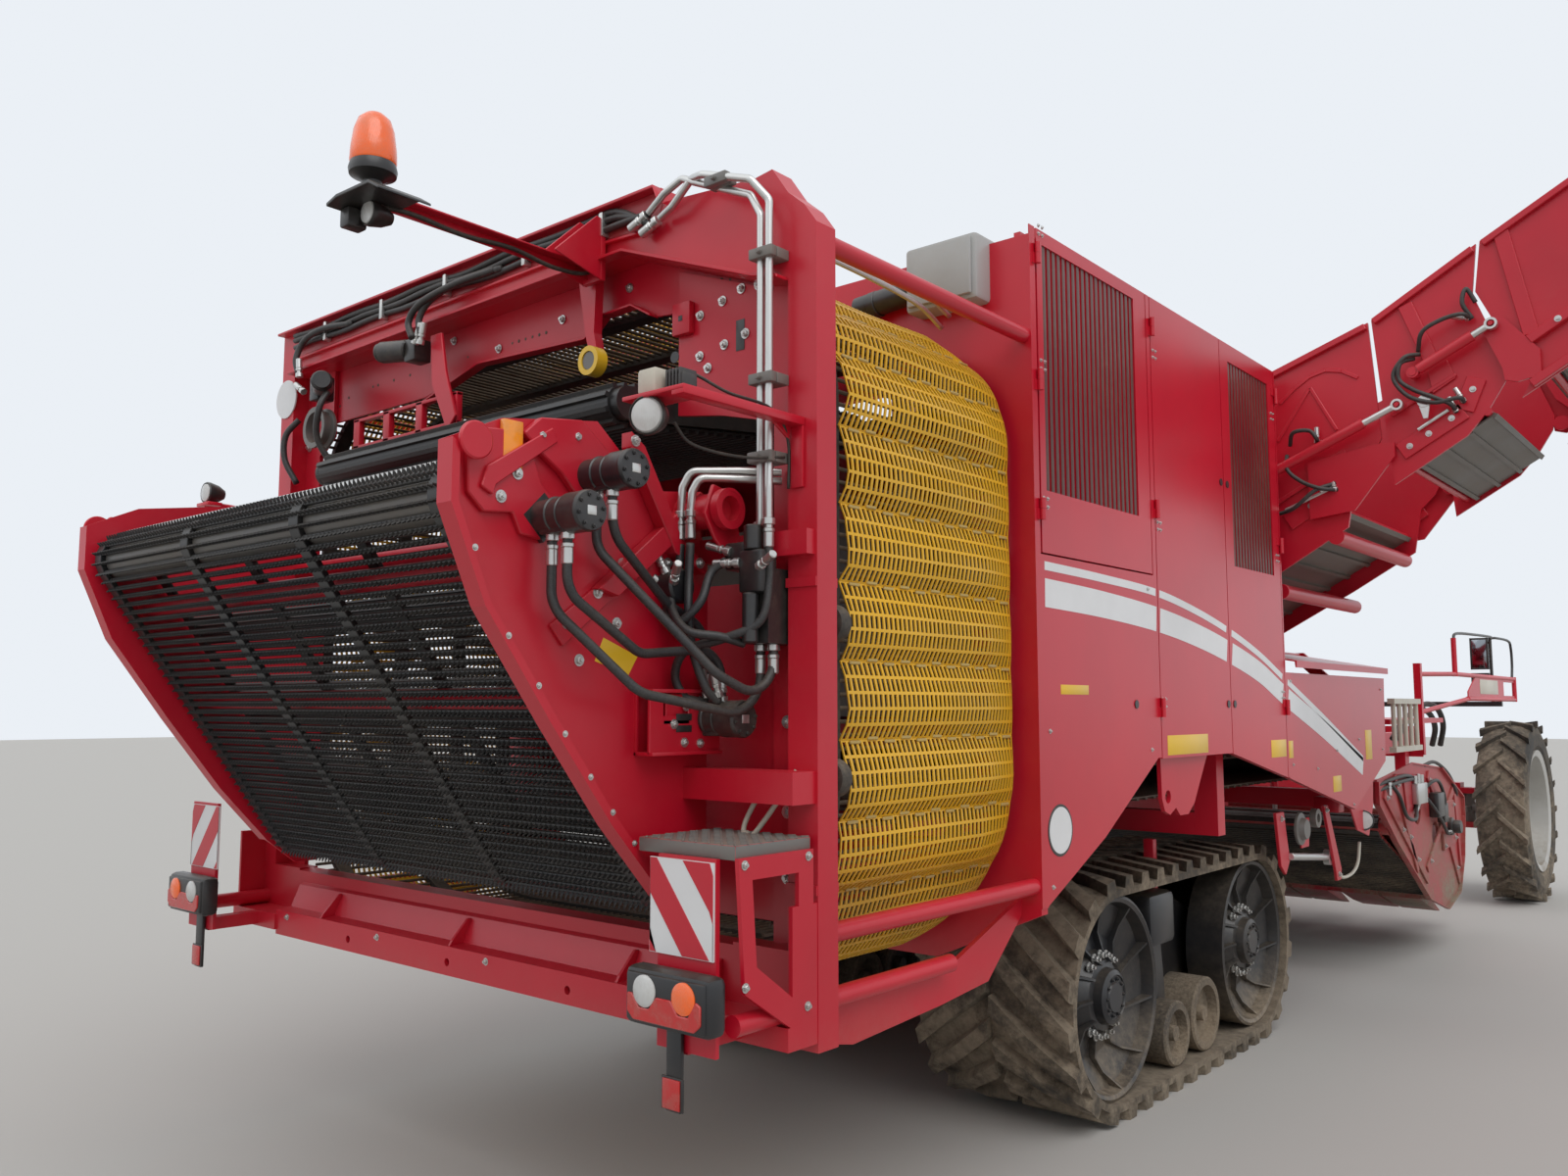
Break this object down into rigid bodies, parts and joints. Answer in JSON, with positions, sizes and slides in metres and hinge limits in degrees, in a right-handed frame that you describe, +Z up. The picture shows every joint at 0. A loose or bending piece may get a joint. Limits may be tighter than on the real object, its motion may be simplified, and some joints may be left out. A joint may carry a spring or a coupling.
{
  "type": "potato harvester",
  "caption": "Self-propelled tracked root-crop harvester with ring elevator, rear finger web, side bunker with folding slatted boom, front wheels, cab and digging unit.",
  "frame": {"origin": "middle of the whole machine's box, at ground level", "axes": "+Z up, +Y forward in the direction of travel, +X to the machine's right"},
  "size_m": [6.45, 13.855, 5.4654],
  "materials": {
    "red_paint": "weathered satin paint with dust",
    "bright_steel": "bright ground rod",
    "black_rubber": "black moulded rubber, dusty",
    "slat_steel": "worn soil-polished slats",
    "grey_iron": "grey casting",
    "black_iron": "black paint on castings",
    "yellow_pockets": "moulded yellow pocket panels, dusty",
    "hose_black": "black hose",
    "grey_paint": "light grey paint",
    "window_glass": "tinted cab glass",
    "seat_cover": "dark woven cover",
    "ladder_steel": "dark paint",
    "tyre": "tyre with dried soil",
    "rim_paint": "pale grey rim paint, dusty",
    "black_plastic": "black plastic",
    "track_rubber": "black track rubber with soil",
    "lamp_plastic": "black lamp housings",
    "plate_white": "reflective plate face"
  },
  "bodies": {
    "chassis": {"main_frame": "red_paint", "rear_frame": "red_paint", "rear_beam": "red_paint", "ring_web": "black_rubber", "ring_pockets": "yellow_pockets", "web_rollers": "grey_iron", "finger_web": "black_rubber", "finger_plates": "red_paint", "hydraulic_motors": "black_iron", "picking_web": "black_rubber", "hydraulic_lines": "hose_black", "side_panels": "red_paint", "engine_block": "grey_iron", "cooler_box": "grey_paint", "top_deck": "red_paint", "sieve_web": "black_rubber", "bunker_body": "red_paint", "bunker_floor": "slat_steel", "cab_shell": "red_paint", "cab_glass": "window_glass", "cab_seat": "seat_cover", "platform": "red_paint", "ladder": "ladder_steel", "front_axle": "red_paint", "mirrors": "black_plastic", "track_belt_right": "track_rubber", "track_belt_left": "track_rubber", "track_gear": "black_iron", "lamps": "lamp_plastic", "warning_plates": "plate_white", "beacon_arm": "red_paint"},
    "knuckle_right": {"knuckle_right": "grey_iron"},
    "knuckle_left": {"knuckle_left": "grey_iron"},
    "wheel_right": {"tyre_right": "tyre", "rim_right": "rim_paint"},
    "wheel_left": {"tyre_left": "tyre", "rim_left": "rim_paint"},
    "boom_mid": {"boom_mid": "red_paint", "boom_mid_floor": "slat_steel"},
    "boom_tip": {"boom_tip": "red_paint", "boom_tip_floor": "slat_steel"},
    "fold_barrels": {"fold_barrels": "red_paint"},
    "fold_rods": {"fold_rods": "bright_steel"},
    "tip_barrels": {"tip_barrels": "red_paint"},
    "tip_rods": {"tip_rods": "bright_steel"},
    "digging_unit": {"digging_frame": "red_paint"},
    "lift_barrels": {"lift_barrels": "red_paint"},
    "lift_rods": {"lift_rods": "bright_steel"},
    "ridge_rollers": {"ridge_rollers": "red_paint"},
    "coulter_discs": {"coulter_discs": "bright_steel"},
    "door_vent_rear": {"door_vent_rear": "red_paint"},
    "door_middle": {"door_middle": "red_paint"},
    "door_vent_front": {"door_vent_front": "red_paint"},
    "front_lid": {"front_lid": "red_paint"},
    "cab_door": {"cab_door": "red_paint", "cab_door_glass": "window_glass"}
  },
  "joints": [
    {"name": "steer_right", "type": "hinge", "parent": "chassis", "child": "knuckle_right", "pos_m": [-0.195, 6.0025, 0.925], "axis": [0, 0, 1], "range_deg": [-30, 30]},
    {"name": "steer_left", "type": "hinge", "parent": "chassis", "child": "knuckle_left", "pos_m": [-2.555, 6.0025, 0.925], "axis": [0, 0, 1], "range_deg": [-30, 30]},
    {"name": "wheel_spin_right", "type": "hinge", "parent": "knuckle_right", "child": "wheel_right", "pos_m": [0.245, 6.0025, 0.925], "axis": [1, 0, 0], "continuous": true},
    {"name": "wheel_spin_left", "type": "hinge", "parent": "knuckle_left", "child": "wheel_left", "pos_m": [-2.995, 6.0025, 0.925], "axis": [1, 0, 0], "continuous": true},
    {"name": "boom_fold", "type": "hinge", "parent": "chassis", "child": "boom_mid", "pos_m": [0.955, -0.5925, 3.46], "axis": [0, 1, 0], "range_deg": [0, 35]},
    {"name": "boom_tip_fold", "type": "hinge", "parent": "boom_mid", "child": "boom_tip", "pos_m": [1.61, -0.5925, 3.8], "axis": [0, 1, 0], "range_deg": [0, 35]},
    {"name": "fold_barrel_swing", "type": "hinge", "parent": "chassis", "child": "fold_barrels", "pos_m": [0.265, -0.5925, 3.37], "axis": [0, 1, 0], "range_deg": [-0.3, 8.21]},
    {"name": "fold_rod_slide", "type": "slide", "parent": "fold_barrels", "child": "fold_rods", "axis": [0.9191, 0, 0.3939], "range_m": [-0.004, 0.09612]},
    {"name": "tip_barrel_swing", "type": "hinge", "parent": "boom_mid", "child": "tip_barrels", "pos_m": [1.125, -0.5925, 3.87], "axis": [0, 1, 0], "range_deg": [-0.3, 7.01]},
    {"name": "tip_rod_slide", "type": "slide", "parent": "tip_barrels", "child": "tip_rods", "axis": [0.8917, 0, 0.4526], "range_m": [-0.004, 0.16481]},
    {"name": "digging_lift", "type": "hinge", "parent": "chassis", "child": "digging_unit", "pos_m": [-1.375, 0.7725, 1.38], "axis": [1, 0, 0], "range_deg": [-8, 9]},
    {"name": "lift_barrel_swing", "type": "hinge", "parent": "chassis", "child": "lift_barrels", "pos_m": [-1.375, 1.5325, 1.66], "axis": [1, 0, 0], "range_deg": [-4.37, 4.88]},
    {"name": "lift_rod_slide", "type": "slide", "parent": "lift_barrels", "child": "lift_rods", "axis": [0, 0, -1], "range_m": [-0.1236, 0.11031]},
    {"name": "ridge_roller_spin", "type": "hinge", "parent": "digging_unit", "child": "ridge_rollers", "pos_m": [-1.375, 3.1325, 0.76], "axis": [1, 0, 0], "continuous": true},
    {"name": "coulter_spin", "type": "hinge", "parent": "digging_unit", "child": "coulter_discs", "pos_m": [-1.375, 3.5325, 0.56], "axis": [1, 0, 0], "continuous": true},
    {"name": "door_vent_rear_hinge", "type": "hinge", "parent": "chassis", "child": "door_vent_rear", "pos_m": [0.389, -4.4125, 3.3], "axis": [0, 0, -1], "range_deg": [0, 110]},
    {"name": "door_middle_hinge", "type": "hinge", "parent": "chassis", "child": "door_middle", "pos_m": [0.389, -3.2735, 2.9], "axis": [0, 0, -1], "range_deg": [0, 110]},
    {"name": "door_vent_front_hinge", "type": "hinge", "parent": "chassis", "child": "door_vent_front", "pos_m": [0.389, -1.5095, 2.9], "axis": [0, 0, 1], "range_deg": [0, 90]},
    {"name": "front_lid_hinge", "type": "hinge", "parent": "chassis", "child": "front_lid", "pos_m": [-0.195, -0.4175, 2.38], "axis": [0, -1, 0], "range_deg": [0, 35]},
    {"name": "cab_door_hinge", "type": "hinge", "parent": "chassis", "child": "cab_door", "pos_m": [-1.297, 2.0305, 2.7], "axis": [0, 0, -1], "range_deg": [0, 85]}
  ],
  "couplings": [
    {"joint": "steer_left", "follows": "steer_right", "ratio": 1},
    {"joint": "fold_barrel_swing", "follows": "boom_fold", "ratio": 0.22609},
    {"joint": "fold_rod_slide", "follows": "boom_fold", "m_per_rad": 0.15081},
    {"joint": "tip_barrel_swing", "follows": "boom_tip_fold", "ratio": 0.19176},
    {"joint": "tip_rod_slide", "follows": "boom_tip_fold", "m_per_rad": 0.26324},
    {"joint": "lift_barrel_swing", "follows": "digging_lift", "ratio": 0.50935},
    {"joint": "lift_rod_slide", "follows": "digging_lift", "m_per_rad": -0.76137}
  ]
}
